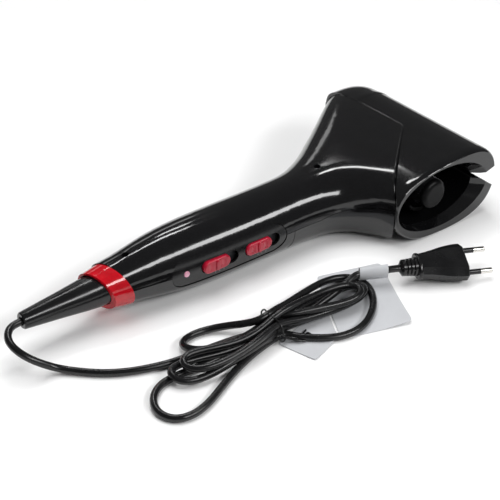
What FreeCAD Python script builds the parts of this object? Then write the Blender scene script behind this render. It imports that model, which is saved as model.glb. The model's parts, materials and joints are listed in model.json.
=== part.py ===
"""Automatic hair curler with a clamp head, lying on a table with its lead.

Millimetres. X runs along the handle towards the head, Z is up, and the origin is on the
flat land under the handle. The curling chamber is open on the -Y end of the head.
"""
import FreeCAD, Part
import math
import os

os.makedirs("parts", exist_ok=True)
V = FreeCAD.Vector

# ---- driving dimensions ------------------------------------------------------------
WALL = 2.2                  # moulded shell wall
GAP = 0.2                   # half of the gap at a parting line
AXIS_Z = 25.0               # height of the handle's axis above the table
SLANT_Y = 0.36              # collar planes: x shift per mm of y
SLANT_Z = 0.22              # collar planes: x shift per mm of z
COLLAR_X = (-132.0, -119.0) # collar ring's ends on the axis
REAR_X = -118.7             # handle shells' rear edge on the axis
OPEN_Y = -64.0              # open end of the head
FAR_Y = 88.5                # closed end of the head
CHAMBER = (130.0, 31.0)     # barrel and rotor axis in x, z
CHAMBER_A = 40.0            # chamber half length along x
CHAMBER_B = 22.0            # chamber half height
LINER = 2.0                 # chamber liner wall
FUNNEL_WALL = 1.6
BACK_Y = 8.0                # chamber's closed end
FUNNEL = (133.4, 45.8, 24.9) # chamber's flared front: centre x, half length, half height
FUNNEL_Y = -56.0            # where the flare meets the chamber
PART_HANDLE_Z = 25.0        # parting height along the handle
PART_HEAD_Z = 33.0          # parting height along the head
HINGE = (22.0, 14.0)        # lever hinge axis in x, z
LEVER_X = 22.0              # rear edge of the lever shell
MOUTH = (30.7, 35.5)        # throat of the hair mouth in z
MOUTH_X = 175.0             # inner end of the mouth's lead-in
MOUTH_END_Y = 10.0          # the mouth stops here
PANEL_X = (-83.0, 14.0)     # switch panel
PANEL_H = 23.0
KNOB = (22.8, 9.6)          # slide knob length and height
KNOB_X = (-59.6, -22.6)     # rear end of each knob at rest
KNOB_TRAVEL = 7.0
BOOT_BORE = 3.2
LEAD_ENTRY = -180.0
BOOT_TIP_X = -189.0
SWIVEL_X = -125.0           # boot's base, inside the collar
CORD_D = 5.2
PLUG_AT = (61.0, -95.2, 14.0)   # where the lead enters the plug
PLUG_TURN = -23.5               # degrees about z, then pitch and roll of the plug as it lies
PLUG_PITCH = 3.0
PLUG_ROLL = 22.0
PIN_SPACING = 18.6
PIN_R = 2.0
PIN_NECK_R = 1.75
PIN_NECK = 1.0
PLUG_LENGTH = 36.0
RELIEF_LENGTH = 13.0

# x, near half width, far half width, top, bottom, exponent of the section
BODY_STATIONS = (
    (-136.0, 14.4, 15.2, 15.2, 14.4, 2.0),
    (-117.0, 16.4, 17.6, 17.6, 16.2, 2.0),
    (-104.0, 18.0, 19.6, 19.6, 17.9, 2.0),
    (-86.0, 20.9, 22.6, 22.8, 20.9, 2.0),
    (-66.0, 23.5, 24.7, 24.9, 23.7, 2.0),
    (-42.0, 25.0, 25.4, 25.6, 25.3, 2.0),
    (-10.0, 25.5, 25.5, 25.5, 25.6, 2.0),
    (24.0, 25.6, 25.6, 25.6, 25.6, 2.0),
    (44.0, 26.2, 27.6, 26.0, 25.6, 2.05),
    (58.0, 28.8, 32.5, 27.2, 25.6, 2.15),
    (70.0, 35.0, 37.5, 29.0, 25.6, 2.35),
    (80.0, 46.0, 43.0, 30.6, 25.6, 2.6),
    (90.0, 63.0, 49.0, 32.1, 25.6, 2.9),
    (102.0, 80.0, 56.5, 33.5, 25.6, 3.3),
    (118.0, 92.0, 67.0, 34.9, 25.6, 3.9),
    (134.0, 98.0, 77.5, 36.0, 25.6, 4.6),
    (152.0, 100.0, 88.0, 36.6, 25.6, 5.0),
)

# closed outline of the jaws in x, z, from the rear over the top
JAW_OUTLINE = (
    (84.5, 33.0), (87.5, 44.0), (96.5, 51.6), (111.0, 56.3), (131.0, 59.3), (150.0, 60.6),
    (167.0, 60.0), (179.5, 55.0), (186.8, 46.0), (189.0, 35.0), (188.0, 22.5), (181.0, 10.5),
    (168.0, 2.8), (150.0, -0.8), (126.0, -0.8), (106.0, 2.8), (93.0, 11.5), (86.3, 22.5),
)
JAW_CENTRE = (137.5, 30.0)
# distance from the open end, x scale and z scale of the rounded lip
JAW_LIP = ((0.0, 0.965, 0.935), (0.6, 0.976, 0.955), (1.8, 0.988, 0.977), (4.0, 0.997, 0.993), (6.5, 1.0, 1.0))
# y, x scale and z scale of the rounded closed end
JAW_END = (
    (50.0, 1.0, 1.0), (58.0, 1.0, 0.992), (66.0, 0.998, 0.97), (73.0, 0.99, 0.93),
    (79.0, 0.965, 0.86), (84.0, 0.92, 0.75), (87.0, 0.85, 0.60), (FAR_Y, 0.74, 0.42),
)


# ---- small helpers -----------------------------------------------------------------
def export(name, shape):
    solids = shape.Solids
    shape = solids[0] if len(solids) == 1 else Part.makeCompound(solids)
    print("%-24s solids %d  volume %.0f mm3  valid %s" % (name, len(solids), shape.Volume, shape.isValid()))
    shape.exportStep("parts/%s.step" % name)


def box(x0, x1, y0, y1, z0, z1):
    return Part.makeBox(x1 - x0, y1 - y0, z1 - z0, V(x0, y0, z0))


def rod(axis, start, end, radius, across):
    """Cylinder along "x", "y" or "z"; across gives the two other coordinates in order."""
    if axis == "x":
        return Part.makeCylinder(radius, end - start, V(start, across[0], across[1]), V(1, 0, 0))
    if axis == "y":
        return Part.makeCylinder(radius, end - start, V(across[0], start, across[1]), V(0, 1, 0))
    return Part.makeCylinder(radius, end - start, V(across[0], across[1], start), V(0, 0, 1))


def ring_y(y0, y1, outer, inner, centre):
    return rod("y", y0, y1, outer, centre).cut(rod("y", y0 - 1, y1 + 1, inner, centre))


def prism(points, plane, start, end):
    """Polygon prism: plane "xy" rises along z, plane "xz" runs along y."""
    if plane == "xy":
        corners = [V(a, b, start) for a, b in points]
        step = V(0, 0, end - start)
    else:
        corners = [V(a, start, b) for a, b in points]
        step = V(0, end - start, 0)
    return Part.Face(Part.makePolygon(corners + corners[:1])).extrude(step)


def stadium(x0, x1, z, height, y0, y1):
    r = height / 2
    bar = box(x0 + r, x1 - r, y0, y1, z - r, z + r)
    return bar.fuse([rod("y", y0, y1, r, (x0 + r, z)), rod("y", y0, y1, r, (x1 - r, z))])


def fuse_all(shapes):
    return shapes[0].fuse(shapes[1:]).removeSplitter()


def closed_curve(points):
    curve = Part.BSplineCurve()
    curve.interpolate(Points=points, PeriodicFlag=True)
    return Part.Wire([curve.toShape()])


def revolve_x(profile):
    """Solid turned about the handle's axis from (x, radius) points."""
    corners = [V(x, 0, AXIS_Z + r) for x, r in profile]
    return Part.Face(Part.makePolygon(corners + corners[:1])).revolve(V(0, 0, AXIS_Z), V(1, 0, 0), 360)


# ---- outer forms -------------------------------------------------------------------
def section_point(half, exponent, turn):
    near, far, top, bottom = half
    c = math.cos(turn)
    s = math.sin(turn)
    y = math.copysign(abs(c) ** (2 / exponent), c) * (far if c > 0 else near)
    z = math.copysign(abs(s) ** (2 / exponent), s) * (top if s > 0 else bottom)
    return y, AXIS_Z + z


def body_form(inset):
    """Handle and flared rear of the head, shrunk by inset."""
    wires = []
    for x, near, far, top, bottom, exponent in BODY_STATIONS:
        half = [value - inset for value in (near, far, top, bottom)]
        steps = 32
        points = []
        for i in range(steps):
            y, z = section_point(half, exponent, 2 * math.pi * i / steps)
            points.append(V(x, y, z))
        wires.append(closed_curve(points))
    return Part.makeLoft(wires, True, False)


def jaw_wire(y, sx, sz, inset):
    cx, cz = JAW_CENTRE
    xs = [x for x, z in JAW_OUTLINE]
    zs = [z for x, z in JAW_OUTLINE]
    kx = sx * (1 - 2 * inset / (max(xs) - min(xs)))
    kz = sz * (1 - 2 * inset / (max(zs) - min(zs)))
    return closed_curve([V(cx + (x - cx) * kx, y, cz + (z - cz) * kz) for x, z in JAW_OUTLINE])


def jaw_form(inset, y_open):
    """Both jaws as one closed form, from the lip at the open end to the rounded far one."""
    first_y = JAW_END[0][0]
    lip = [jaw_wire(y_open + y, sx, sz, inset) for y, sx, sz in JAW_LIP]
    straight_y = y_open + JAW_LIP[-1][0]
    straight = Part.Face(jaw_wire(straight_y, 1, 1, inset)).extrude(V(0, first_y - straight_y, 0))
    far_end = []
    for y, sx, sz in JAW_END:
        shrink = inset * (y - first_y) / (FAR_Y - first_y)
        far_end.append(jaw_wire(y - shrink, sx, sz, inset))
    return straight.fuse([Part.makeLoft(lip, True, False), Part.makeLoft(far_end, True, False)])


def chamber_form(extra, y0, y1):
    """Ellipse prism around the chamber, grown by extra."""
    ellipse = Part.Ellipse(V(CHAMBER[0], y0, CHAMBER[1]), CHAMBER_A + extra, CHAMBER_B + extra)
    ellipse.Axis = V(0, 1, 0)
    ellipse.XAxis = V(1, 0, 0)
    face = Part.Face(Part.Wire([ellipse.toShape()]))
    return face.extrude(V(0, y1 - y0, 0))


def funnel_form(extra):
    """Flare from the head's open end down to the chamber, grown by extra."""
    wires = []
    for y, x, a, b in ((OPEN_Y, *FUNNEL), (FUNNEL_Y, CHAMBER[0], CHAMBER_A, CHAMBER_B)):
        ellipse = Part.Ellipse(V(x, y, CHAMBER[1]), a + extra, b + extra)
        ellipse.Axis = V(0, 1, 0)
        ellipse.XAxis = V(1, 0, 0)
        wires.append(Part.Wire([ellipse.toShape()]))
    return Part.makeLoft(wires, True, False)


def rear_region(shift):
    """Plan region behind the line where the jaw covers start."""
    points = ((-160, -120), (78, -120), (84, -66), (94, -50), (146.5, -3), (146.5, 120), (-160, 120))
    return prism([(x + shift if x > 0 else x, y) for x, y in points], "xy", -10, 80)


def above_parting(shift):
    points = ((-160, PART_HANDLE_Z + shift), (45, PART_HANDLE_Z + shift), (85, PART_HEAD_Z + shift),
              (220, PART_HEAD_Z + shift), (220, 90), (-160, 90))
    return prism(points, "xz", -120, 120)


def collar_side(x, towards_head):
    """Everything on one side of the slanted collar plane through x on the axis."""
    reach = 400 if towards_head else -400
    corners = []
    for y, z in ((-130, -60), (130, -60), (130, 110), (-130, 110)):
        corners.append(V(x - SLANT_Y * y - SLANT_Z * (z - AXIS_Z), y, z))
    return Part.Face(Part.makePolygon(corners + corners[:1])).extrude(V(reach, 0, 0))


def mouth_form():
    low, high = MOUTH
    slot = box(150, 200, OPEN_Y - 4, MOUTH_END_Y, low, high)
    lead_in = prism(((MOUTH_X, low), (MOUTH_X, high), (206, 44.4), (206, 8.5)), "xz", OPEN_Y - 4, MOUTH_END_Y)
    return slot.fuse(lead_in)


def table_side():
    return box(-260, 260, -150, 150, 0, 100)


# ---- casing ------------------------------------------------------------------------
SCREW_HOLES = ((-107.0, 0.0), (63.0, 0.0))
# side view region of the rear shell; its front edge leans back to clear the lever's swing
REAR_SHELL_SIDE = ((-160, -10), (18.3, -10), (18.3, -1), (21.55, HINGE[1]), (21.55, 40), (-160, 40))
LEVER_SCREW_X = (60.0, 100.0)


def panel_window(grow):
    x0, x1 = PANEL_X
    return stadium(x0 - grow, x1 + grow, AXIS_Z, PANEL_H + 2 * grow, -40, -12)


def make_casing():
    outer = body_form(0).common(box(-140, 200, OPEN_Y, 120, 0, 90)).common(collar_side(REAR_X, True))
    skin = outer.cut(body_form(WALL))
    skin = skin.common(rear_region(-GAP)).cut(panel_window(0.4))
    upper = skin.common(above_parting(GAP))
    for x, y in SCREW_HOLES:
        boss = rod("z", 26, 60, 4.4, (x, y)).common(body_form(WALL))
        upper = upper.fuse(boss).cut(rod("z", 32, 70, 2.6, (x, y))).cut(rod("z", 20, 40, 1.3, (x, y)))
    lower = skin.cut(above_parting(-GAP))
    rear = lower.common(prism(REAR_SHELL_SIDE, "xz", -120, 120))
    lever = lower.common(box(LEVER_X, 260, -120, 120, -10, 90))
    for x in LEVER_SCREW_X:
        lever = lever.cut(rod("z", 0.7, 10, 1.35, (x, 0)))
    export("upper_shell", upper)
    export("rear_lower_shell", rear)
    export("lever_shell", lever)

    heads = []
    for x, y in SCREW_HOLES:
        head = rod("z", 32.2, 34.2, 2.4, (x, y))
        heads.append(head.fuse(rod("z", 22, 32.3, 1.2, (x, y))).cut(box(x - 1.6, x + 1.6, y - 0.3, y + 0.3, 33.4, 35)))
    export("shell_screws", Part.makeCompound(heads))
    return skin


def make_collar():
    ring = revolve_x(((-145, 12.3), (-145, 13.0), (-136, 14.0), (-126, 15.8), (-117, 17.3), (-106, 18.8),
                      (-106, 12.3)))
    ring = ring.common(collar_side(COLLAR_X[0], True)).common(collar_side(COLLAR_X[1], False))
    export("collar_ring", ring)


def make_jaws(casing):
    outer = jaw_form(0, OPEN_Y)
    skin = outer.cut(jaw_form(WALL, OPEN_Y + WALL)).fuse(funnel_form(FUNNEL_WALL).common(outer))
    skin = skin.common(table_side()).cut(funnel_form(0))
    skin = skin.cut(rear_region(GAP)).cut(mouth_form())
    export("upper_jaw_cover", skin.common(above_parting(GAP)))
    export("lower_jaw_cover", skin.cut(above_parting(-GAP)))
    liner = chamber_form(LINER, FUNNEL_Y + 0.1, BACK_Y).cut(chamber_form(0, OPEN_Y - 5, BACK_Y + 5))
    liner = liner.cut(mouth_form()).cut(casing)
    export("upper_liner", liner.common(above_parting(GAP)))
    export("lower_liner", liner.cut(above_parting(-GAP)))


# ---- switch panel ------------------------------------------------------------------
WINDOW = (KNOB[0] + KNOB_TRAVEL + 1.6, KNOB[1] + 0.8)
KNOB_FACE_Y = -26.4
RIDGE_WIDTH = 2.8
SWITCH_TOP_Y = -20.4
BOARD_Y = (-11.6, -10.0)
LED_X = -72.0


def make_panel():
    plate = panel_window(0).common(body_form(0.5)).cut(body_form(WALL))
    for x in KNOB_X:
        plate = plate.cut(stadium(x - 0.8, x - 0.8 + WINDOW[0], AXIS_Z, WINDOW[1], -40, -10))
    plate = plate.cut(rod("y", -40, -10, 2.4, (LED_X, AXIS_Z)))
    export("switch_panel", plate)
    lens = rod("y", -23.2, -20.0, 2.25, (LED_X, AXIS_Z))
    lens = lens.makeFillet(0.7, [e for e in lens.Edges if e.BoundBox.YMax < -23.1])
    export("indicator_lens", lens.fuse(rod("y", -20.1, -19.2, 3.0, (LED_X, AXIS_Z))))
    led = rod("y", -18.4, -14.6, 1.5, (LED_X, AXIS_Z)).fuse(rod("y", -14.6, BOARD_Y[0], 1.9, (LED_X, AXIS_Z)))
    export("indicator_led", led)


def make_knob(name, x):
    """Rounded slide pad with one grip ridge across it and a pointer beside the scale."""
    middle = x + KNOB[0] / 2
    pad = stadium(x, x + KNOB[0], AXIS_Z, KNOB[1], KNOB_FACE_Y, -22.0).removeSplitter()
    pad = pad.makeFillet(1.2, [e for e in pad.Edges if e.BoundBox.YMax < KNOB_FACE_Y + 0.1])
    ridge = stadium(middle - 4.1, middle + 4.1, 0, RIDGE_WIDTH, KNOB_FACE_Y - 0.9, KNOB_FACE_Y + 0.5)
    ridge = ridge.removeSplitter().makeFillet(
        0.5, [e for e in ridge.removeSplitter().Edges if e.BoundBox.YMax < KNOB_FACE_Y - 0.8])
    ridge.rotate(V(middle, 0, 0), V(0, 1, 0), 90)
    ridge.translate(V(0, 0, AXIS_Z))
    dishes = [rod("z", AXIS_Z - 2.6, AXIS_Z + 2.6, 5.0, (middle + side * 5.6, KNOB_FACE_Y - 4.65))
              for side in (-1, 1)]
    stem = box(middle - 1.5, middle + 1.5, -22.1, -18.0, AXIS_Z - 1.2, AXIS_Z + 1.2)
    export(name, fuse_all([pad.cut(dishes), ridge, stem]))


def make_switch(name, x):
    body = box(x - 1.5, x + 31.4, SWITCH_TOP_Y, BOARD_Y[0], AXIS_Z - 6.0, AXIS_Z + 6.0)
    middle = x + KNOB[0] / 2
    slot = box(middle - 2.2, middle + KNOB_TRAVEL + 2.2, SWITCH_TOP_Y - 1, -16.8, AXIS_Z - 1.6, AXIS_Z + 1.6)
    export(name, body.cut(slot))


# ---- electronics -------------------------------------------------------------------
def make_electronics():
    board = box(-86, 12, BOARD_Y[0], BOARD_Y[1], 12.5, 37.5)
    for x in (-82.0, 8.0):
        board = board.cut(rod("y", -20, 0, 1.6, (x, 34)))
    export("main_board", board)
    export("filter_capacitor", box(-78, -60, -10, -1, 17, 33))
    coil = rod("y", -10, -1, 7.5, (-45, AXIS_Z)).cut(rod("y", -11, 0, 3.0, (-45, AXIS_Z)))
    export("choke_coil", coil)
    export("control_chip", box(-30, -18, -10, -7.8, 20, 30))
    export("triac", box(-12, -2, -10, -5.4, 18, 32))
    buzzer = rod("y", -10, -3.4, 5.0, (6.5, 31.0))
    export("buzzer", buzzer.cut(rod("y", -4.4, -2, 1.0, (6.5, 31.0))))


# ---- lever and hinge ---------------------------------------------------------------
ARM_Z = (4.2, 6.8)          # steel arm above the lever shell's floor


def make_hinge():
    hx, hz = HINGE
    export("hinge_pin", rod("y", -13, 13, 2.5, (hx, hz)))
    bracket = []
    for y0, y1 in ((-12.5, -9.5), (9.5, 12.5)):
        cheek = box(hx - 5, hx + 5, y0, y1, hz - 4.5, 31)
        bracket.append(cheek.cut(rod("y", y0 - 1, y1 + 1, 2.5, (hx, hz))))
    bracket.append(box(hx - 5, hx + 5, -12.5, 12.5, 29, 31))
    export("hinge_bracket", fuse_all(bracket))
    arm = box(hx, 112, -8, 8, ARM_Z[0], ARM_Z[1])
    web = prism(((hx - 1, 9.2), (hx + 4.6, 12), (36, ARM_Z[1]), (36, ARM_Z[0]), (hx + 1, ARM_Z[0])), "xz", -8, 8)
    arm = fuse_all([arm, rod("y", -8, 8, 5.0, HINGE), web])
    arm = arm.cut(rod("y", -20, 20, 2.55, HINGE)).cut(box(hx - 9, hx + 9, -3.2, 3.2, 0, 24))
    arm = arm.cut(box(hx, 37.5, -1.2, 1.2, 0, 24)).cut(box(0, 130, -20, 20, -5, ARM_Z[0]))
    for x in LEVER_SCREW_X:
        arm = arm.cut(rod("z", 0, 10, 1.35, (x, 0)))
    export("lever_arm", arm)
    coil = ring_y(-2.9, 2.9, 4.3, 2.9, HINGE)
    tail = box(hx + 3.0, 36, -0.7, 0.7, ARM_Z[1] + 0.3, ARM_Z[1] + 1.5)
    hook = box(hx + 3.0, hx + 4.2, -0.7, 0.7, ARM_Z[1] + 0.3, hz)
    top_tail = box(hx - 4.2, hx - 3.0, -0.7, 0.7, hz, 28.8)
    export("lever_spring", fuse_all([coil, tail, hook, top_tail]))
    screws = []
    for x in LEVER_SCREW_X:
        head = rod("z", ARM_Z[1] + 0.05, ARM_Z[1] + 1.8, 2.6, (x, 0))
        screws.append(head.fuse(rod("z", 0.8, ARM_Z[1] + 0.1, 1.3, (x, 0))))
    export("lever_screws", Part.makeCompound(screws))


def make_microswitch():
    body = box(38, 50, -3.2, 3.2, 12.0, 19.0)
    export("microswitch", body.cut(rod("z", 8, 16, 1.05, (44, 0))))
    export("microswitch_plunger", rod("z", ARM_Z[1] + 0.2, 15.0, 0.95, (44, 0)))
    plate = box(18, 56, -12.4, 12.4, 31.2, 33.0).fuse(box(37, 51, -3.2, 3.2, 19.0, 31.3))
    export("chassis_plate", plate.cut(rod("z", 20, 40, 4.8, (63, 0))))


# ---- curling drive -----------------------------------------------------------------
MODULE = 0.8
TEETH = {"rotor": 40, "idler": 20, "pinion": 12}
GEAR_Y = (20.0, 26.0)
IDLER_ANGLE = 33.0
PINION_ANGLE = -62.0


def pitch_radius(name):
    return MODULE * TEETH[name] / 2


def polar(centre, radius, degrees):
    turn = math.radians(degrees)
    return centre[0] + radius * math.cos(turn), centre[1] + radius * math.sin(turn)


IDLER = polar(CHAMBER, pitch_radius("rotor") + pitch_radius("idler"), IDLER_ANGLE)
PINION = polar(IDLER, pitch_radius("idler") + pitch_radius("pinion"), PINION_ANGLE)


def gear(name, centre, phase, y0, y1):
    """Involute spur gear along y with one tooth centred at phase degrees."""
    teeth = TEETH[name]
    rp = pitch_radius(name)
    rb = rp * math.cos(math.radians(20))
    ra = rp + 0.70 * MODULE
    rf = rp - 1.05 * MODULE
    inv20 = math.tan(math.radians(20)) - math.radians(20)
    half = math.pi / 2 / teeth - 0.06 / rp
    points = []
    for k in range(teeth):
        middle = math.radians(phase) + 2 * math.pi * k / teeth
        flank = []
        for i in range(4):
            r = max(rb, rf + 0.05) + (ra - max(rb, rf + 0.05)) * i / 3
            roll = math.acos(min(1.0, rb / r))
            flank.append((r, half + inv20 - (math.tan(roll) - roll)))
        side = [(rf, flank[0][1] + 0.02)] + flank
        for r, a in side:
            points.append((centre[0] + r * math.cos(middle - a), centre[1] + r * math.sin(middle - a)))
        for r, a in reversed(side):
            points.append((centre[0] + r * math.cos(middle + a), centre[1] + r * math.sin(middle + a)))
    return prism(points, "xz", y0, y1)


def make_gears():
    rotor = gear("rotor", CHAMBER, IDLER_ANGLE, *GEAR_Y)
    rotor = fuse_all([rotor, rod("y", 9.0, 12.0, 20.2, CHAMBER), rod("y", 12.0, 20.0, 14.0, CHAMBER)])
    rotor = rotor.cut(rod("y", 0, 40, 8.06, CHAMBER))
    rotor = rotor.cut(rod("y", 0, 9.8, 12.4, CHAMBER))
    export("rotor_gear", rotor)

    idler_pitch = 360 / TEETH["idler"]
    idler_phase = IDLER_ANGLE + 180 + idler_pitch / 2
    idler = gear("idler", IDLER, idler_phase, *GEAR_Y)
    export("idler_gear", idler.cut(rod("y", 0, 40, 2.05, IDLER)))
    export("idler_axle", rod("y", 17.2, 29.4, 2.0, IDLER))

    short = (PINION_ANGLE - idler_phase) % idler_pitch
    shift = math.degrees(math.asin(pitch_radius("idler") * math.sin(math.radians(short)) / pitch_radius("pinion")))
    pinion_phase = PINION_ANGLE + 180 + shift + 180 / TEETH["pinion"]
    pinion = gear("pinion", PINION, pinion_phase, *GEAR_Y)
    export("motor_pinion", pinion.fuse(rod("y", 26.0, 40.0, 1.5, PINION)))


def make_winding_hook():
    """Arm that carries the hair round the barrel, on the rotor's front disc."""
    angle = 221.0
    root_x, root_z = polar(CHAMBER, 17.2, angle)
    arm = rod("y", -46.0, 9.0, 1.9, (root_x, root_z))
    tip = Part.makeSphere(1.9, V(root_x, -46.0, root_z))
    blade = ring_y(-46.0, -41.0, 18.6, 15.8, CHAMBER)
    corner = [polar(CHAMBER, r, a) for r, a in ((0.1, angle), (40, angle - 2), (40, angle + 26), (40, angle + 52))]
    blade = blade.common(prism(corner, "xz", -60, 0))
    export("winding_hook", fuse_all([arm, tip, blade]))


def make_drive_housing():
    plate = prism(((96, 14), (96, 46), (104, 51.5), (160, 50.5), (172, 42), (172, 22), (160, 8), (104, 7)),
                  "xz", 26.4, 29.4)
    tube = rod("y", 8.4, 29.0, 8.0, CHAMBER)
    case = fuse_all([plate, tube])
    case = case.cut([rod("y", 0, 40, 6.0, CHAMBER), rod("y", 20, 40, 2.0, IDLER), rod("y", 20, 40, 2.6, PINION)])
    rim = ring_y(13.0, 26.5, 21.6, 19.6, CHAMBER)
    relief = [rod("y", 10, 26.45, 9.2, IDLER), rod("y", 10, 26.45, 6.2, PINION)]
    export("gear_plate", case.fuse(rim.cut(relief)).removeSplitter())
    front = ring_y(13.0, 15.0, 28.0, 14.6, CHAMBER).common(box(90, 180, 0, 40, 8, 53.4))
    front = front.cut(ring_y(12.9, 15.1, 21.7, 19.5, CHAMBER))
    front = front.cut(rod("y", 0, 40, 21.7, CHAMBER))
    export("bulkhead", front)
    motor = rod("y", 34.0, 62.0, 12.0, PINION).common(box(100, 200, 30, 70, PINION[1] - 9.6, PINION[1] + 9.6))
    motor = motor.fuse([rod("y", 31.6, 34.0, 3.4, PINION), rod("y", 62.0, 64.4, 3.8, PINION)])
    export("drive_motor", motor.cut(rod("y", 20, 41, 1.56, PINION)))
    bracket = box(PINION[0] - 14, PINION[0] + 14, 29.6, 31.4, PINION[1] - 11, PINION[1] + 11)
    strap = box(PINION[0] - 13.8, PINION[0] - 12.3, 31.0, 52.0, PINION[1] - 8, PINION[1] + 8)
    export("motor_bracket", bracket.fuse(strap).cut(rod("y", 20, 33, 3.6, PINION)))


CAP_Y = -59.0               # front of the barrel's end cap


def make_barrel():
    barrel = ring_y(-54.0, 8.2, 12.0, 10.4, CHAMBER)
    export("heater_barrel", barrel)
    cap = rod("y", CAP_Y, -54.0, 12.0, CHAMBER)
    cap = cap.makeFillet(4.6, [e for e in cap.Edges if e.BoundBox.YMax < CAP_Y + 0.1])
    export("barrel_end_cap", cap.fuse(rod("y", -54.0, -50.0, 10.3, CHAMBER)))
    cx, cz = CHAMBER
    export("ptc_heater", box(cx - 7, cx + 7, -44, 2, cz - 2.5, cz + 2.5))
    spreaders = []
    for low, high in ((cz - 10.3, cz - 2.6), (cz + 2.6, cz + 10.3)):
        spreaders.append(rod("y", -45, 4, 10.3, CHAMBER).common(box(cx - 12, cx + 12, -46, 5, low, high)))
    export("heat_spreaders", Part.makeCompound(spreaders))
    export("thermal_fuse", rod("y", -49.5, -45.2, 2.0, (cx, cz)))
    guard = ring_y(12.2, 12.9, 21.0, 14.2, CHAMBER)
    export("rotor_washer", guard)


# ---- swivel lead entry -------------------------------------------------------------
def make_swivel():
    base = SWIVEL_X
    boot = revolve_x(((BOOT_TIP_X, BOOT_BORE), (BOOT_TIP_X, 5.2), (BOOT_TIP_X + 0.8, 6.0), (-160, 9.0), (-142, 11.1),
                      (-134, 11.8), (base, 11.9), (base, 7.0), (base + 6, 7.0), (base + 6, 9.4),
                      (base + 8.6, 9.4), (base + 8.6, 2.5), (base + 4, 2.5), (base + 4, 0), (LEAD_ENTRY, 0),
                      (LEAD_ENTRY, BOOT_BORE)))
    export("cord_boot", boot)
    socket = revolve_x(((base + 0.4, 7.08), (base + 0.4, 12.2), (base + 12.6, 12.2), (base + 12.6, 6.4),
                        (base + 9, 6.4), (base + 9, 9.7),
                        (base + 5.6, 9.7), (base + 5.6, 7.08)))
    export("swivel_socket", socket)
    export("swivel_contact", rod("x", base + 4.1, base + 12.2, 2.45, (0, AXIS_Z)))
    brush = rod("x", base + 9.6, base + 12.2, 6.3, (0, AXIS_Z)).cut(rod("x", base, base + 22, 2.7, (0, AXIS_Z)))
    export("contact_brushes", brush.cut(box(base + 9, base + 13, -0.8, 0.8, 10, 40)))
    wires = []
    for y in (-3.6, 3.6):
        wires.append(rod("x", base + 12.3, -87.0, 0.9, (y, AXIS_Z)))
    export("inner_wires", Part.makeCompound(wires))


# ---- lead, plug, tie and tag -------------------------------------------------------
LEAD_ROUTE = (
    (-180.5, 0.0, 25.0), (-189.3, 0.0, 25.0), (-197.5, -1.3, 25.0), (-202.2, -5.6, 24.1), (-204.7, -11.3, 22.7),
    (-204.5, -17.8, 20.9), (-201.3, -24.5, 17.5), (-194.6, -29.6, 12.1), (-183.4, -33.1, 4.0), (-172.7, -43.9, 2.8),
    (-160.1, -55.5, 2.8), (-146.8, -63.4, 2.8), (-133.2, -68.7, 2.8), (-120.2, -72.8, 2.8),
)
TAIL_ROUTE = (
    (36.5, -77.0, 9.0), (44.5, -83.6, 11.2), (52.6, -90.0, 13.0), (61.0, -95.2, 14.0),
)
HANK_OUTLINE = (
    (-121.5, -66.0), (-112.0, -56.0), (-94.0, -48.5), (-78.0, -50.0), (-50.0, -61.0), (-30.0, -59.0),
    (3.0, -52.0), (26.0, -56.0), (38.5, -66.0), (43.0, -80.0), (38.0, -103.0), (22.0, -117.0),
    (-12.0, -124.0), (-38.0, -112.0), (-58.0, -108.0), (-76.0, -106.0), (-108.0, -121.0), (-136.0, -130.5),
    (-153.0, -127.0), (-160.0, -110.0), (-155.0, -92.0), (-142.0, -82.0), (-121.5, -79.0),
)
HANK_Z = (0.3, 8.2)
BUNDLE_OUTLINE = (
    (-96.0, -84.0), (-60.0, -77.0), (-10.0, -72.0), (24.0, -74.0), (24.0, -93.0), (-10.0, -98.0),
    (-60.0, -101.0), (-96.0, -103.0),
)
BUNDLE_TOP = 15.6


def cord_path(route):
    points = [V(*p) for p in route]
    edges = []
    radii = []
    at = points[0]
    for before, corner, after in zip(points, points[1:], points[2:]):
        a = (corner - before).normalize()
        b = (after - corner).normalize()
        turn = a.getAngle(b)
        reach = 0.45 * min((corner - before).Length, (after - corner).Length)
        radii.append(reach / math.tan(turn / 2))
        start = corner - a * reach
        end = corner + b * reach
        middle_dir = (b - a).normalize()
        middle = corner + middle_dir * (radii[-1] * (1 / math.cos(turn / 2) - 1))
        edges.append(Part.LineSegment(at, start).toShape())
        edges.append(Part.Arc(start, middle, end).toShape())
        at = end
    edges.append(Part.LineSegment(at, points[-1]).toShape())
    return Part.Wire(edges), radii


def make_tube(name, route):
    path, radii = cord_path(route)
    direction = V(*route[1]) - V(*route[0])
    circle = Part.Wire([Part.Circle(V(*route[0]), direction, CORD_D / 2).toShape()])
    tube = path.makePipeShell([circle], True, False)
    expected = math.pi * CORD_D ** 2 / 4 * path.Length
    print(name, "length %.1f mm, radii" % path.Length, [round(r, 1) for r in radii],
          "volume ratio %.4f" % (tube.Volume / expected))
    export(name, tube)


def plug_frame(shape):
    """From the plug's own axes (pins along +x, flat faces up) to where it lies."""
    shape.rotate(V(0, 0, 0), V(1, 0, 0), PLUG_ROLL)
    shape.rotate(V(0, 0, 0), V(0, 1, 0), PLUG_PITCH)
    shape.rotate(V(0, 0, 0), V(0, 0, 1), PLUG_TURN)
    shape.translate(V(*PLUG_AT))
    return shape


# x from the lead's side, width, height of the plug body, widths at its flats
PLUG_SECTIONS = ((14.6, 17.6, 13.2), (22.0, 20.0, 14.2), (34.0, 25.6, 14.8), (42.0, 28.0, 14.6), (49.0, 28.4, 14.0))
FLANGE = (12.0, 14.8, 10.3, 7.8)     # x from, x to, half width, half height


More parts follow.
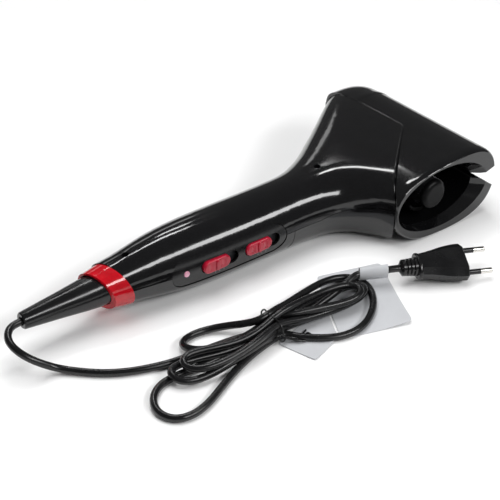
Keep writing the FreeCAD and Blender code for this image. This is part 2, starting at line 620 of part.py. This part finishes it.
def make_relief():
    """Ribbed strain relief, narrow at the lead."""
    relief = Part.makeCone(3.5, 5.9, 1.6, V(0, 0, 0), V(1, 0, 0))
    relief = relief.fuse(Part.makeCone(5.9, 6.8, FLANGE[0] - 1.8, V(1.5, 0, 0), V(1, 0, 0)))
    for k in range(3):
        tool = Part.makeCylinder(9, 1.3, V(3.4 + 2.7 * k, 0, 0), V(1, 0, 0))
        relief = relief.cut(tool.cut(Part.makeCylinder(4.7 + 0.2 * k, 1.3, V(3.4 + 2.7 * k, 0, 0), V(1, 0, 0))))
    export("plug_strain_relief", plug_frame(relief))


def plug_section(x, width, height):
    flat = 0.31 * width
    side = 0.2 * height
    y, z = width / 2, height / 2
    corners = ((flat, z), (-flat, z), (-y, side), (-y, -side), (-flat, -z), (flat, -z), (y, -side), (y, side))
    points = [V(x, a, b) for a, b in corners]
    return Part.makePolygon(points + points[:1])


def make_flange():
    x0, x1, half_width, half_height = FLANGE
    ellipse = Part.Ellipse(V(x0, 0, 0), half_width, half_height)
    ellipse.Axis = V(1, 0, 0)
    ellipse.XAxis = V(0, 1, 0)
    flange = Part.Face(Part.Wire([ellipse.toShape()])).extrude(V(x1 - x0, 0, 0))
    return flange.makeFillet(1.0, [e for e in flange.Edges if e.BoundBox.XLength < 0.1])


def make_plug():
    make_relief()
    body = Part.makeLoft([plug_section(*section) for section in PLUG_SECTIONS], True, True)
    face_x = RELIEF_LENGTH + PLUG_LENGTH
    rounded = [e for e in body.Edges if e.BoundBox.XMin > face_x - 0.1]
    body = body.makeFillet(1.6, rounded).fuse(make_flange())
    pins = []
    sleeves = []
    for side in (-1, 1):
        y = side * PIN_SPACING / 2
        body = body.cut(Part.makeCylinder(PIN_NECK_R, 12, V(face_x - 9, y, 0), V(1, 0, 0)))
        pin = Part.makeCylinder(PIN_R, 9.3, V(face_x + 9.7, y, 0), V(1, 0, 0))
        pin = pin.makeFillet(1.2, [pin.Edges[0]] if pin.Edges[0].BoundBox.XMin > face_x + 15 else [pin.Edges[2]])
        core = Part.makeCylinder(PIN_R - 0.5, 18.0, V(face_x - 8.2, y, 0), V(1, 0, 0))
        pins.append(pin.fuse(core))
        neck = Part.makeCylinder(PIN_NECK_R, 10.2, V(face_x - 9, y, 0), V(1, 0, 0))
        sleeve = neck.fuse(Part.makeCylinder(PIN_R, 8.7, V(face_x + PIN_NECK, y, 0), V(1, 0, 0)))
        sleeves.append(sleeve.cut(Part.makeCylinder(PIN_R - 0.5, 40, V(face_x - 8.2, y, 0), V(1, 0, 0))))
    export("plug_body", plug_frame(body))
    export("plug_pins", plug_frame(Part.makeCompound(pins)))
    export("plug_sleeves", plug_frame(Part.makeCompound(sleeves)))


def make_hank():
    turns = prism(HANK_OUTLINE, "xy", *HANK_Z)
    export("cord_hank", turns.fuse(prism(BUNDLE_OUTLINE, "xy", HANK_Z[0], BUNDLE_TOP)))


def make_tag_and_tie():
    leaf = prism(((58, -83), (50, -100), (37, -136), (-9, -124), (-43, -127), (-52, -98), (-10, -74), (26, -69)),
                 "xy", 0.0, 0.25)
    export("paper_tag", leaf)
    top = BUNDLE_TOP + 0.1
    band = prism(((-43, -70), (-41, -69.4), (-52, -105), (-54, -104.4)), "xy", top, top + 1.2)
    export("twist_tie", band)


def main():
    casing = make_casing()
    make_collar()
    make_jaws(casing)
    make_panel()
    make_knob("temperature_knob", KNOB_X[0])
    make_knob("timer_knob", KNOB_X[1])
    make_switch("temperature_switch", KNOB_X[0])
    make_switch("timer_switch", KNOB_X[1])
    make_electronics()
    make_hinge()
    make_microswitch()
    make_gears()
    make_winding_hook()
    make_drive_housing()
    make_barrel()
    make_swivel()
    make_tube("cord_lead", LEAD_ROUTE)
    make_tube("cord_tail", TAIL_ROUTE)
    make_hank()
    make_plug()
    make_tag_and_tie()


main()
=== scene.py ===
import json
import math

import bmesh
import bpy
from mathutils import Matrix, Vector
from mathutils.bvhtree import BVHTree


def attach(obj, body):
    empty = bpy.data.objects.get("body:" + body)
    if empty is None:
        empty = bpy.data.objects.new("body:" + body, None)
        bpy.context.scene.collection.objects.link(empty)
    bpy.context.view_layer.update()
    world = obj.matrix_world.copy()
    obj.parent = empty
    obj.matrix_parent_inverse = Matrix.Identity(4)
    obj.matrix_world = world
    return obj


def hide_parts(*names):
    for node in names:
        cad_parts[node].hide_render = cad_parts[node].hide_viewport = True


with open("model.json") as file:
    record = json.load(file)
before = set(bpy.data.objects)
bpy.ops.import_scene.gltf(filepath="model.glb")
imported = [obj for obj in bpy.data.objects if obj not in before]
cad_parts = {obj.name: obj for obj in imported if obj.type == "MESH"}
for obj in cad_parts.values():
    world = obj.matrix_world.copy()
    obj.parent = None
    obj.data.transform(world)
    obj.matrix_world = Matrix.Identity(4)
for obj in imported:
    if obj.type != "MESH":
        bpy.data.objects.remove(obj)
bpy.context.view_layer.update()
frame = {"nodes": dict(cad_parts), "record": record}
# The camera, stage and lights are in metres, and the pieces in millimetres times MM.
MM = 0.001


def metres(points):
    return [Vector(p) * MM for p in points]


# ---- camera and stage --------------------------------------------------------------
CAMERA_AT = Vector((-0.474115, -0.617943, 0.529047))
CAMERA_RIGHT = Vector((0.793353, -0.608761, 0.0))
CAMERA_UP = Vector((0.340415, 0.443638, 0.829038))
CAMERA_BACK = Vector((-0.504686, -0.65772, 0.559193))
LENS_MM = 91.44
SENSOR_MM = 36.0


def make_camera():
    data = bpy.data.cameras.new("camera")
    data.lens = LENS_MM
    data.sensor_width = SENSOR_MM
    data.clip_start = 0.05
    data.clip_end = 20.0
    camera = bpy.data.objects.new("camera", data)
    bpy.context.scene.collection.objects.link(camera)
    rotation = Matrix((CAMERA_RIGHT, CAMERA_UP, CAMERA_BACK)).transposed()
    camera.matrix_world = Matrix.Translation(CAMERA_AT) @ rotation.to_4x4()
    bpy.context.scene.camera = camera


def area_light(name, at, target, size, power):
    data = bpy.data.lights.new(name, "AREA")
    data.shape = "RECTANGLE"
    data.size = size[0]
    data.size_y = size[1]
    data.energy = power
    light = bpy.data.objects.new(name, data)
    bpy.context.scene.collection.objects.link(light)
    light.location = at
    light.rotation_mode = "QUATERNION"
    light.rotation_quaternion = (Vector(target) - Vector(at)).to_track_quat("-Z", "Y")
    return light


FLOOR_HALF = 4.0
FLOOR_DROP = 0.0002
FLOOR_GREY = 0.93
WORLD_STRENGTH = 0.1


def make_stage():
    mesh = bpy.data.meshes.new("floor")
    form = bmesh.new()
    bmesh.ops.create_grid(form, x_segments=2, y_segments=2, size=FLOOR_HALF)
    form.to_mesh(mesh)
    form.free()
    floor = bpy.data.objects.new("floor", mesh)
    bpy.context.scene.collection.objects.link(floor)
    floor.location = (0, 0, -FLOOR_DROP)
    material = bpy.data.materials.new("floor_white")
    material.use_nodes = True
    shader = material.node_tree.nodes["Principled BSDF"]
    shader.inputs["Base Color"].default_value = (FLOOR_GREY, FLOOR_GREY, FLOOR_GREY, 1)
    shader.inputs["Roughness"].default_value = 0.9
    shader.inputs["Specular IOR Level"].default_value = 0.1
    floor.data.materials.append(material)
    world = bpy.data.worlds.new("studio")
    world.use_nodes = True
    world.node_tree.nodes["Background"].inputs["Color"].default_value = (1, 1, 1, 1)
    world.node_tree.nodes["Background"].inputs["Strength"].default_value = WORLD_STRENGTH
    bpy.context.scene.world = world
    bpy.context.scene.view_settings.view_transform = "Standard"


def make_lights():
    floor_light = area_light("floor_light", (-0.15, 0.25, 1.9), (0, 0, 0), (1.5, 1.5), 25)
    floor_light.visible_glossy = False
    area_light("strip_near", (0.36, -1.05, 0.92), (0.0, 0.0, 0.02), (1.25, 0.26), 12)
    area_light("strip_top", (0.36, 0.62, 1.38), (0.1, -0.03, 0.05), (0.5, 0.12), 3.0)
    area_light("strip_back", (0.1, 1.5, 0.75), (0, 0, 0), (1.4, 0.16), 1.2)
    area_light("edge_card", (0.54, 1.06, 1.2), (0.14, 0, 0.06), (0.3, 0.14), 1.4)
    left_fill = area_light("left_fill", (-1.5, 0.3, 0.9), (0, 0, 0), (0.5, 0.9), 3)
    left_fill.visible_glossy = False


# ---- materials ---------------------------------------------------------------------
class Surface:
    """A procedural material: a Principled shader with small helpers for its node tree."""

    def __init__(self, name, colour, roughness, metallic=0.0, coat=0.0, coat_roughness=0.03):
        self.material = bpy.data.materials.new(name)
        self.material.use_nodes = True
        self.tree = self.material.node_tree
        self.shader = self.tree.nodes["Principled BSDF"]
        self.colour = colour
        self.set("Base Color", (*colour, 1))
        self.set("Roughness", roughness)
        self.set("Metallic", metallic)
        self.set("Coat Weight", coat)
        self.set("Coat Roughness", coat_roughness)
        self.coords = self.tree.nodes.new("ShaderNodeTexCoord")

    def set(self, name, value):
        self.shader.inputs[name].default_value = value

    def node(self, kind, **values):
        made = self.tree.nodes.new(kind)
        for key, value in values.items():
            if key in made.inputs:
                made.inputs[key].default_value = value
            else:
                setattr(made, key, value)
        return made

    def link(self, source, output, target, name):
        self.tree.links.new(source.outputs[output], target.inputs[name])

    def noise(self, scale, detail=4.0, rough=0.6, stretch=None):
        made = self.node("ShaderNodeTexNoise", Scale=scale, Detail=detail, Roughness=rough)
        if stretch:
            mapping = self.node("ShaderNodeMapping", Scale=stretch)
            self.link(self.coords, "Object", mapping, "Vector")
            self.link(mapping, "Vector", made, "Vector")
        else:
            self.link(self.coords, "Object", made, "Vector")
        return made

    def vary_colour(self, source, output, low, high):
        ramp = self.tree.nodes.new("ShaderNodeValToRGB")
        ramp.color_ramp.elements[0].position = 0.35
        ramp.color_ramp.elements[1].position = 0.65
        ramp.color_ramp.elements[0].color = (*[c * low for c in self.colour], 1)
        ramp.color_ramp.elements[1].color = (*[min(1.0, c * high) for c in self.colour], 1)
        self.link(source, output, ramp, "Fac")
        self.link(ramp, "Color", self.shader, "Base Color")

    def vary_roughness(self, source, output, low, high):
        span = self.tree.nodes.new("ShaderNodeMapRange")
        span.inputs["From Min"].default_value = 0.3
        span.inputs["From Max"].default_value = 0.7
        span.inputs["To Min"].default_value = low
        span.inputs["To Max"].default_value = high
        self.link(source, output, span, "Value")
        self.link(span, "Result", self.shader, "Roughness")

    def bump(self, source, output, strength, distance):
        made = self.node("ShaderNodeBump", Strength=strength, Distance=distance)
        self.link(source, output, made, "Height")
        self.link(made, "Normal", self.shader, "Normal")


def glossy(name, colour, roughness=0.09, haze=0.05, dust=0.9):
    """Polished moulded plastic: faint flow ripple, fine swirls and a little dust haze."""
    s = Surface(name, colour, roughness, coat=0.25, coat_roughness=0.03)
    s.set("IOR", 1.5)
    smudge = s.noise(26.0, 5.0, 0.65)
    s.vary_roughness(smudge, "Fac", roughness, roughness + haze)
    s.vary_colour(s.noise(120.0, 3.0), "Fac", dust, 1.12)
    ripple = s.noise(9.0, 1.0, 0.4)
    s.bump(ripple, "Fac", 0.04, 0.002)
    return s.material


def satin(name, colour, roughness=0.42, grain=1500.0, depth=0.00006, spread=0.08, shine=0.5):
    """Moulded plastic with a fine spark-eroded grain."""
    s = Surface(name, colour, roughness)
    s.set("Specular IOR Level", shine)
    fine = s.noise(grain, 3.0, 0.7)
    s.bump(fine, "Fac", 0.35, depth)
    s.vary_roughness(s.noise(60.0, 4.0), "Fac", roughness - spread, roughness + spread)
    s.vary_colour(s.noise(90.0, 4.0), "Fac", 0.85, 1.18)
    return s.material


def rubbery(name, colour, roughness=0.38):
    """Smooth extruded lead jacket with faint lengthwise drag and rubbed places."""
    s = Surface(name, colour, roughness)
    s.bump(s.noise(700.0, 3.0, 0.6), "Fac", 0.25, 0.00005)
    s.vary_roughness(s.noise(45.0, 4.0), "Fac", roughness - 0.06, roughness + 0.1)
    s.vary_colour(s.noise(70.0, 3.0), "Fac", 0.8, 1.3)
    return s.material


def metal(name, colour, roughness, stretch=(40.0, 900.0, 900.0), depth=0.00004):
    """Drawn or brushed metal, its grain along x."""
    s = Surface(name, colour, roughness, metallic=1.0)
    grain = s.noise(1.0, 4.0, 0.7, stretch)
    s.bump(grain, "Fac", 0.2, depth)
    s.vary_roughness(grain, "Fac", roughness * 0.7, roughness * 1.4)
    s.vary_colour(s.noise(55.0, 4.0), "Fac", 0.9, 1.08)
    return s.material


def paper(name, colour):
    s = Surface(name, colour, 0.85)
    fibre = s.noise(900.0, 6.0, 0.75)
    s.bump(fibre, "Fac", 0.3, 0.00008)
    s.vary_colour(s.noise(35.0, 5.0), "Fac", 0.97, 1.03)
    s.set("Subsurface Weight", 0.1)
    s.set("Subsurface Radius", (0.002, 0.002, 0.002))
    return s.material


def lens(name, colour):
    s = Surface(name, colour, 0.18, coat=0.8)
    s.set("Subsurface Weight", 0.4)
    s.set("Subsurface Radius", (0.003, 0.001, 0.001))
    s.vary_colour(s.noise(400.0, 2.0), "Fac", 0.92, 1.08)
    s.vary_roughness(s.noise(300.0, 2.0), "Fac", 0.14, 0.24)
    return s.material


def board(name):
    s = Surface(name, (0.02, 0.16, 0.06), 0.3)
    weave = s.node("ShaderNodeTexBrick", Scale=420.0)
    s.link(s.coords, "Object", weave, "Vector")
    s.bump(weave, "Fac", 0.2, 0.00005)
    s.vary_colour(s.noise(160.0, 2.0), "Fac", 0.8, 1.3)
    return s.material


def make_materials():
    black = (0.005, 0.005, 0.0055)
    return {
        "gloss_black": glossy("piano_black", black),
        "satin_black": satin("satin_black", (0.006, 0.006, 0.0065), 0.2, spread=0.04),
        "gloss_red": glossy("ring_red", (0.5, 0.004, 0.012), 0.1),
        "knob_red": glossy("knob_red", (0.42, 0.008, 0.03), 0.25, 0.08),
        "pink_lens": lens("indicator_pink", (0.8, 0.38, 0.5)),
        "heatproof_black": satin("heatproof_black", (0.003, 0.003, 0.0033), 0.34, shine=0.12),
        "inner_plastic": satin("inner_grey", (0.022, 0.022, 0.025), 0.5),
        "acetal": satin("gear_acetal", (0.72, 0.71, 0.66), 0.35),
        "board_green": board("board_green"),
        "copper": metal("copper", (0.78, 0.42, 0.22), 0.3),
        "steel": metal("zinc_steel", (0.62, 0.62, 0.64), 0.3),
        "coated_aluminium": satin("barrel_coating", (0.012, 0.012, 0.013), 0.28, 900.0),
        "aluminium": metal("extruded_aluminium", (0.8, 0.8, 0.81), 0.35),
        "ceramic": satin("heater_ceramic", (0.82, 0.8, 0.75), 0.55, 600.0),
        "cord_rubber": rubbery("cord_black", (0.006, 0.006, 0.0065), 0.24),
        "nickel": metal("pin_nickel", (0.8, 0.78, 0.74), 0.16),
        "paper": paper("tag_paper", (0.54, 0.55, 0.57)),
    }


# Degrees: an edge that turns more than this is drawn sharp.
NODE_EDGE = 32
PIECE_EDGE = 40


def dress_nodes(materials):
    slots = {part["node"]: part["material_slot"] for part in frame["record"]["subparts"]}
    for name, node in frame["nodes"].items():
        node.data.materials.clear()
        node.data.materials.append(materials[slots[name]])
        for face in node.data.polygons:
            face.use_smooth = True
        sharpen(node)


def sharpen(node):
    """Keeps the mesh's own shading smooth except across real edges."""
    node.data.set_sharp_from_angle(angle=math.radians(NODE_EDGE))


# ---- pieces ------------------------------------------------------------------------
def piece(name, form, material, body, smooth=True):
    mesh = bpy.data.meshes.new(name)
    form.normal_update()
    form.to_mesh(mesh)
    form.free()
    made = bpy.data.objects.new(name, mesh)
    bpy.context.scene.collection.objects.link(made)
    mesh.materials.append(material)
    for face in mesh.polygons:
        face.use_smooth = smooth
    if smooth:
        mesh.set_sharp_from_angle(angle=math.radians(PIECE_EDGE))
    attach(made, body)
    return made


# ---- the lead ----------------------------------------------------------------------
CORD_D = 5.2 * MM
ROUTE = (
    (-180.5, 0.0, 25.0), (-189.3, 0.0, 25.0), (-197.5, -1.3, 25.0), (-202.2, -5.6, 24.1),
    (-204.7, -11.3, 22.7), (-204.5, -17.8, 20.9), (-201.3, -24.5, 17.5), (-194.6, -29.6, 12.1),
    (-183.4, -33.1, 4.0), (-172.7, -43.9, 2.8), (-160.1, -55.5, 2.8), (-146.8, -63.4, 2.8),
    (-133.2, -68.7, 2.8), (-119.8, -72.4, 2.7), (-104.3, -74.2, 2.7), (-87.9, -75.4, 2.7),
    (-72.7, -77.5, 2.7), (-61.6, -80.2, 2.7), (-55.7, -82.2, 2.7), (-49.4, -82.5, 2.7),
    (-39.6, -80.9, 2.7), (-23.0, -78.0, 2.7), (-1.9, -74.1, 2.7), (17.7, -72.7, 2.7),
    (31.1, -75.4, 2.7), (36.1, -81.6, 2.7), (33.9, -89.2, 2.7), (25.5, -93.7, 2.7),
    (11.7, -93.1, 2.7), (-6.0, -91.3, 2.7), (-24.2, -90.5, 3.8), (-38.1, -91.2, 5.9),
    (-47.6, -92.6, 7.7), (-58.0, -95.0, 8.0), (-73.8, -98.0, 7.7), (-90.8, -99.6, 6.5),
    (-106.4, -100.0, 5.0), (-118.8, -98.7, 4.6), (-127.1, -95.1, 5.3), (-130.5, -89.9, 6.8),
    (-129.6, -85.0, 7.7), (-125.1, -81.8, 7.3), (-117.2, -81.4, 6.9), (-105.8, -84.5, 7.4),
    (-91.3, -89.1, 7.3), (-74.3, -91.1, 7.1), (-58.2, -89.6, 7.6), (-47.8, -87.7, 7.7),
    (-38.6, -85.5, 7.1), (-24.7, -81.9, 6.7), (-4.9, -78.6, 5.5), (14.3, -77.4, 4.1),
    (27.7, -79.7, 4.3), (33.1, -85.9, 6.9), (30.7, -93.3, 7.8), (21.8, -97.4, 6.5),
    (7.8, -96.9, 5.6), (-9.2, -95.2, 5.9), (-25.6, -94.1, 7.8), (-37.9, -93.0, 10.8),
    (-47.0, -92.9, 12.8), (-57.7, -95.4, 13.2), (-74.0, -99.4, 12.6), (-91.0, -101.0, 11.4),
    (-105.4, -99.6, 10.4), (-115.5, -95.7, 9.9), (-120.3, -89.8, 10.3), (-119.5, -84.3, 11.4),
    (-114.2, -81.8, 12.2), (-105.5, -83.3, 12.5), (-94.3, -87.4, 12.7), (-81.9, -90.9, 12.5),
    (-69.4, -91.5, 12.5), (-57.4, -89.4, 13.2), (-48.2, -87.6, 14.7), (-39.6, -86.6, 16.1),
    (-28.1, -85.6, 15.9), (-12.5, -83.9, 14.2), (4.4, -82.9, 12.6), (18.3, -84.6, 11.8),
    (25.0, -90.0, 11.7), (23.8, -96.7, 11.7), (16.4, -100.7, 11.3), (5.6, -99.7, 11.0),
    (-6.8, -96.4, 11.4), (-19.4, -93.1, 12.0), (-30.7, -88.7, 11.8), (-40.5, -82.8, 10.8),
    (-48.8, -81.7, 8.9), (-57.5, -83.2, 8.1), (-68.4, -85.7, 8.8), (-81.4, -86.4, 9.7),
    (-93.7, -84.1, 9.5), (-102.9, -78.2, 8.4), (-106.7, -69.7, 6.6), (-104.6, -61.7, 4.3),
    (-98.0, -57.0, 2.8), (-88.7, -56.3, 2.7), (-78.8, -59.5, 3.6), (-69.8, -65.9, 5.8),
    (-62.7, -74.2, 9.1), (-56.7, -80.9, 12.6), (-50.0, -82.7, 14.9), (-41.4, -81.0, 14.8),
    (-27.7, -77.1, 11.8), (-7.4, -70.4, 8.0), (14.5, -64.9, 5.0), (31.1, -66.3, 3.2),
    (40.0, -75.1, 2.7), (39.7, -89.0, 2.7), (30.1, -103.5, 2.7), (16.3, -114.6, 2.7),
    (1.9, -120.2, 2.7), (-11.0, -119.7, 2.7), (-21.7, -114.7, 2.7), (-30.9, -107.4, 2.7),
    (-37.7, -100.2, 2.7), (-41.0, -94.4, 2.7), (-46.9, -92.6, 2.7), (-58.1, -94.1, 2.7),
    (-76.9, -98.7, 2.7), (-95.3, -105.6, 2.7), (-110.9, -113.2, 2.7), (-125.2, -120.0, 2.7),
    (-138.8, -123.0, 2.7), (-149.4, -119.9, 2.7), (-154.7, -111.2, 2.7), (-153.5, -100.7, 2.7),
    (-147.5, -91.9, 2.7), (-139.1, -86.5, 2.7), (-129.0, -84.9, 2.7), (-115.9, -85.9, 2.7),
    (-98.4, -87.3, 2.7), (-77.6, -87.9, 2.7), (-58.5, -88.1, 2.7), (-47.3, -87.9, 2.7),
    (-39.2, -87.3, 2.7), (-29.2, -85.8, 2.7), (-14.3, -84.3, 3.0), (2.1, -83.3, 5.0),
    (16.9, -82.0, 7.8), (28.4, -79.9, 9.7), (36.5, -78.0, 10.0), (44.5, -84.6, 12.2),
    (52.6, -91.0, 13.9), (61.0, -95.2, 14.0),
)


def nurbs(name, points, depth, resolution=8, radial=5):
    curve = bpy.data.curves.new(name, "CURVE")
    curve.dimensions = "3D"
    curve.bevel_depth = depth
    curve.bevel_resolution = radial
    curve.use_fill_caps = True
    spline = curve.splines.new("NURBS")
    spline.points.add(len(points) - 1)
    for target, point in zip(spline.points, points):
        target.co = (*point, 1.0)
    spline.order_u = 3
    spline.use_endpoint_u = True
    spline.resolution_u = resolution
    made = bpy.data.objects.new(name, curve)
    bpy.context.scene.collection.objects.link(made)
    return made


def make_lead(materials):
    lead = nurbs("mains_lead", metres(ROUTE), CORD_D / 2)
    lead.data.materials.append(materials["cord_rubber"])
    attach(lead, "housing")
    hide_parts("cord_lead", "cord_hank", "cord_tail")
    return lead


TIE_CENTRE = (-48.0, -87.6, 8.9)
TIE_HALF = (10.6, 7.9)
TIE_STEPS = 16
TIE_FIRST_TURN = 3.6
TIE_TILT = 0.12
TIE_SWAY = 0.5
TIE_START = ((-27.0, -97.5, 1.4), (-31.0, -99.5, 1.6), (-35.0, -101.5, 2.2), (-39.5, -102.5, 3.0))
TIE_END = ((-41.0, -104.0, 3.2), (-36.5, -106.5, 2.0), (-32.0, -107.0, 1.4), (-28.0, -104.5, 1.2))
TIE_WIRE_R = 0.75
TWIST_FROM = (-40.5, -103.2, 2.6)
TWIST_LONG = 13.0
TWIST_STEPS = 18
TWIST_STEPS_A_TURN = 5
TWIST_COIL_R = 1.1
TWIST_BOW = 1.5
TWIST_DROP = 0.8
TWIST_WIRE_R = 0.7
EARS = (("tie_ear_far", (-46.2, -76.0, 11.6)), ("tie_ear_near", (-49.0, -99.4, 6.0)))
EAR_STEPS = 8
EAR_HALF = (2.4, 1.2)
EAR_WIRE_R = 0.6


def wire(name, points, radius, materials):
    made = nurbs(name, metres(points), radius * MM, 8, 3)
    made.data.materials.append(materials["cord_rubber"])
    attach(made, "housing")
    return made


def tie_loop():
    cx, cy, cz = TIE_CENTRE
    loop = []
    for i in range(TIE_STEPS + 1):
        turn = 2 * math.pi * i / TIE_STEPS + TIE_FIRST_TURN
        across = TIE_HALF[0] * math.cos(turn)
        x = cx - TIE_TILT * across + TIE_SWAY * math.sin(turn * 0.5)
        loop.append((x, cy + across, cz + TIE_HALF[1] * math.sin(turn)))
    return loop


def twist_points():
    points = []
    for i in range(TWIST_STEPS + 1):
        turn = 2 * math.pi * i / TWIST_STEPS_A_TURN
        along = i / TWIST_STEPS
        x = TWIST_FROM[0] + TWIST_LONG * along
        y = TWIST_FROM[1] + TWIST_BOW * math.sin(3 * along)
        z = TWIST_FROM[2] + TWIST_COIL_R * math.sin(turn) - TWIST_DROP * along
        points.append((x, y + TWIST_COIL_R * math.cos(turn), z))
    return points


def ear_points(at):
    ring = []
    for i in range(EAR_STEPS + 1):
        turn = 2 * math.pi * i / EAR_STEPS
        side = EAR_HALF[0] * math.cos(turn)
        rise = EAR_HALF[0] * math.sin(turn)
        ring.append((at[0] + side, at[1] + EAR_HALF[1] * math.sin(turn), at[2] + rise))
    return ring


def make_tie(materials):
    """Thin wire wrapped round the bundle, its two ends twisted together beside it."""
    band = wire("tie_band", [*TIE_START, *tie_loop(), *TIE_END], TIE_WIRE_R, materials)
    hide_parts("twist_tie")
    knot = wire("tie_twist", twist_points(), TWIST_WIRE_R, materials)
    ears = [wire(name, ear_points(at), EAR_WIRE_R, materials) for name, at in EARS]
    return [band, knot, *ears]


TAG_THICK = 0.16
CORNER_LIFT = 26.0
CURL_RIGHT_OF = 0.45
CURL_LEFT_OF = 0.35
CURL_NEARER_THAN = 0.62
LEAF_RIGHT = ((-14, -119, 0.1), (37, -135.5, 0.1), (20.3, -52.0, 0.1), (69.0, -66.9, 0.1))
LEAF_LEFT = ((-42, -126, 0.35), (-15, -117, 0.35), (-51, -96, 0.35), (4, -82, 0.35))
SLEEVE_FROM = (37.5, -78.6, 10.6)
SLEEVE_TO = (53.4, -91.2, 13.6)
SLEEVE_HALF = (2.1, 3.1, 5.2)
SLEEVE_SAG = 0.9
SLEEVE_ROWS = 8
SLEEVE_STEPS = 16
SLEEVE_FIRST_TURN = -1.0


def grid_sheet(name, rows, material, thick):
    """A thin closed sheet through rows of points, with a soft curl already in them."""
    form = bmesh.new()
    grid = [[form.verts.new(Vector(p) * MM) for p in row] for row in rows]
    for a, b in zip(grid, grid[1:]):
        for i in range(len(a) - 1):
            form.faces.new((a[i], a[i + 1], b[i + 1], b[i]))
    bmesh.ops.recalc_face_normals(form, faces=form.faces)
    made = piece(name, form, material, "housing")
    solid = made.modifiers.new("thickness", "SOLIDIFY")
    solid.thickness = thick * MM
    solid.offset = 0
    subdivision = made.modifiers.new("smooth", "SUBSURF")
    subdivision.levels = 2
    subdivision.render_levels = 2
    return made


def lerp(a, b, t):
    return tuple(x + (y - x) * t for x, y in zip(a, b))


def leaf_rows(near_left, near_right, far_left, far_right, count):
    """Rows of a leaf lying on the table, its free near corners lifted a little by their curl."""
    rows = []
    for i in range(count):
        t = i / (count - 1)
        row = []
        for k in range(count):
            s = k / (count - 1)
            x, y, z = lerp(lerp(near_left, far_left, t), lerp(near_right, far_right, t), s)
            sides = max(0.0, s - CURL_RIGHT_OF) ** 2 + 0.5 * max(0.0, CURL_LEFT_OF - s) ** 2
            curl = CORNER_LIFT * sides * max(0.0, CURL_NEARER_THAN - t) ** 2
            row.append((x, y, z + curl))
        rows.append(row)
    return rows


def sleeve_rows():
    rows = []
    for i in range(SLEEVE_ROWS):
        cx, cy, cz = lerp(SLEEVE_FROM, SLEEVE_TO, i / (SLEEVE_ROWS - 1))
        row = []
        for k in range(SLEEVE_STEPS + 1):
            turn = 2 * math.pi * k / SLEEVE_STEPS + SLEEVE_FIRST_TURN
            x = cx + SLEEVE_HALF[0] * math.cos(turn)
            y = cy + SLEEVE_HALF[1] * math.cos(turn)
            row.append((x, y, cz - SLEEVE_SAG + SLEEVE_HALF[2] * math.sin(turn)))
        rows.append(row)
    return rows


def make_tag(materials):
    tag = grid_sheet("tag_leaf_right", leaf_rows(*LEAF_RIGHT, 11), materials["paper"], TAG_THICK)
    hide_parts("paper_tag")
    left = grid_sheet("tag_leaf_left", leaf_rows(*LEAF_LEFT, 9), materials["paper"], TAG_THICK)
    sleeve = grid_sheet("tag_sleeve", sleeve_rows(), materials["paper"], TAG_THICK)
    return [tag, left, sleeve]


# ---- raised edges and print --------------------------------------------------------
def surface_of(name):
    node = frame["nodes"][name]
    corners = [node.matrix_world @ v.co for v in node.data.vertices]
    return BVHTree.FromPolygons(corners, [tuple(p.vertices) for p in node.data.polygons])


SHELL_EDGE = ((146.0, 80.0), (146.0, 40.0), (146.0, -3.2), (119.8, -26.4), (93.6, -49.9), (84.2, -63.6))
EDGE_R = 0.8
EDGE_STEPS = 8
EDGE_SINK = 0.45
# In metres:
EDGE_LOWEST = 0.04
ABOVE_SHELL = 0.2


def make_shell_edge(materials):
    """Rounded edge of the upper shell where it steps down to the jaw cover."""
    shell = surface_of("upper_shell")
    points = []
    for (ax, ay), (bx, by) in zip(SHELL_EDGE, SHELL_EDGE[1:]):
        for i in range(EDGE_STEPS):
            x = (ax + (bx - ax) * i / EDGE_STEPS) * MM
            y = (ay + (by - ay) * i / EDGE_STEPS) * MM
            place = shell.ray_cast(Vector((x, y, ABOVE_SHELL)), Vector((0, 0, -1)))[0]
            if place is not None and place.z > EDGE_LOWEST:
                points.append(place - Vector((0, 0, EDGE_SINK * MM)))
    edge = nurbs("shell_edge_bead", points, EDGE_R * MM, 4, 4)
    edge.data.materials.append(materials["gloss_black"])
    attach(edge, "housing")


TICK_SIZE = (0.45, 1.5)
TICK_STEP = 3.5
TICK_COUNT = 3
TICK_BASE = 16.6
MIDDLE_TICK = 0.7
SCALES = (("temperature_scale", -48.2), ("timer_scale", -11.2))
# In metres:
BEFORE_PANEL = -0.06
TICK_PROUD = (0, -0.00006, -0.00002)
TICK_DEEP = 0.00015


def make_ticks(materials):
    """Scale marks printed on the switch panel below each slide."""
    panel = surface_of("switch_panel")
    ink = satin("scale_ink", (0.3, 0.3, 0.31), 0.5)
    for name, first in SCALES:
        form = bmesh.new()
        for k in range(TICK_COUNT):
            x = first + TICK_STEP * k
            tall = TICK_SIZE[1] * (MIDDLE_TICK if k == 1 else 1.0)
            corners = []
            for dx, dz in ((0, 0), (TICK_SIZE[0], 0), (TICK_SIZE[0], tall), (0, tall)):
                start = Vector(((x + dx) * MM, BEFORE_PANEL, (TICK_BASE + dz) * MM))
                place = panel.ray_cast(start, Vector((0, 1, 0)))[0]
                corners.append(place + Vector(TICK_PROUD))
            top = [form.verts.new(c) for c in corners]
            under = [form.verts.new(c + Vector((0, TICK_DEEP, 0))) for c in corners]
            form.faces.new(top)
            form.faces.new(under[::-1])
            for i in range(4):
                form.faces.new((top[i], under[i], under[(i + 1) % 4], top[(i + 1) % 4]))
        bmesh.ops.recalc_face_normals(form, faces=form.faces)
        piece(name, form, ink, "housing", smooth=False)


make_camera()
materials = make_materials()
lead = make_lead(materials)
make_tie(materials) + make_tag(materials)
make_shell_edge(materials)
make_ticks(materials)
dress_nodes(materials)
make_stage()
make_lights()
